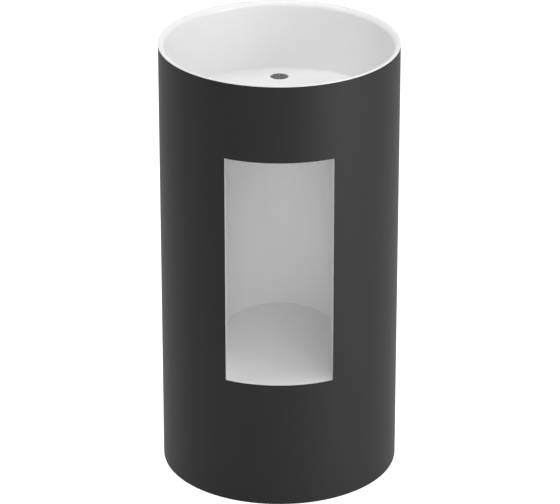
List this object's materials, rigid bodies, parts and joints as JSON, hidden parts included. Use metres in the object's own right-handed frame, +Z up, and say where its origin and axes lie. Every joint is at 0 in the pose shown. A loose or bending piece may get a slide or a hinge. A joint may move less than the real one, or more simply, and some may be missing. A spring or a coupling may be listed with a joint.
{
  "type": "pedestal sink",
  "caption": "Freestanding cylindrical pedestal sink: dark column, white round basin with an off-centre drain and an open storage niche in front.",
  "frame": {"origin": "centre of the round footprint on the floor", "axes": "+Z up; -Y is the front with the niche; +X to the right seen from the front"},
  "size_m": [0.4499, 0.45, 0.85],
  "materials": {
    "skin_dark": "fine matt charcoal powder coat",
    "basin_white": "satin white glaze",
    "niche_white": "satin white enamel",
    "niche_shelf_white": "satin white cast mineral board",
    "rubber_black": "matt black",
    "sealant_grey": "dark grey silicone",
    "zinc_steel": "zinc plated steel plate",
    "screw_steel": "plain stainless",
    "screw_dark": "black oxide",
    "waste_chrome": "polished chrome on brass",
    "strainer_steel": "brushed stainless",
    "trap_white": "moulded white polypropylene",
    "pipe_white": "moulded white polypropylene"
  },
  "bodies": {
    "column": {"outer_skin": "skin_dark", "foot_strip": "rubber_black", "floor_ring": "zinc_steel", "floor_brackets": "zinc_steel", "bracket_washers": "zinc_steel", "bracket_bolts": "screw_steel", "deck_lugs": "zinc_steel", "deck_plate": "zinc_steel", "deck_screws": "screw_steel", "niche_shelf": "niche_shelf_white", "niche_liner": "niche_white", "niche_ceiling": "niche_white", "bowl_ring": "zinc_steel", "bowl_screws": "screw_steel", "lip_seal": "sealant_grey", "basin_bowl": "basin_white", "waste_gasket": "rubber_black", "waste_body": "waste_chrome", "waste_screws": "screw_steel", "waste_nut": "waste_chrome", "waste_nut_seal": "rubber_black", "tailpipe": "waste_chrome", "trap_nut": "trap_white", "trap_nut_seal": "rubber_black", "trap_body": "trap_white", "outlet_nut": "trap_white", "outlet_nut_seal": "rubber_black", "outlet_bend": "pipe_white", "service_cover": "skin_dark", "cover_tabs": "skin_dark", "cover_screws": "screw_dark"},
    "strainer": {"strainer": "strainer_steel"},
    "trap_cup": {"trap_cup": "trap_white", "trap_cup_seal": "rubber_black"}
  },
  "joints": [
    {"name": "strainer_lift", "type": "slide", "parent": "column", "child": "strainer", "axis": [0, 0, 1], "range_m": [0, 0.03]},
    {"name": "trap_cup_turn", "type": "hinge", "parent": "column", "child": "trap_cup", "pos_m": [0, 0.17, 0.085], "axis": [0, 0, 1], "range_deg": [-720, 0]}
  ]
}
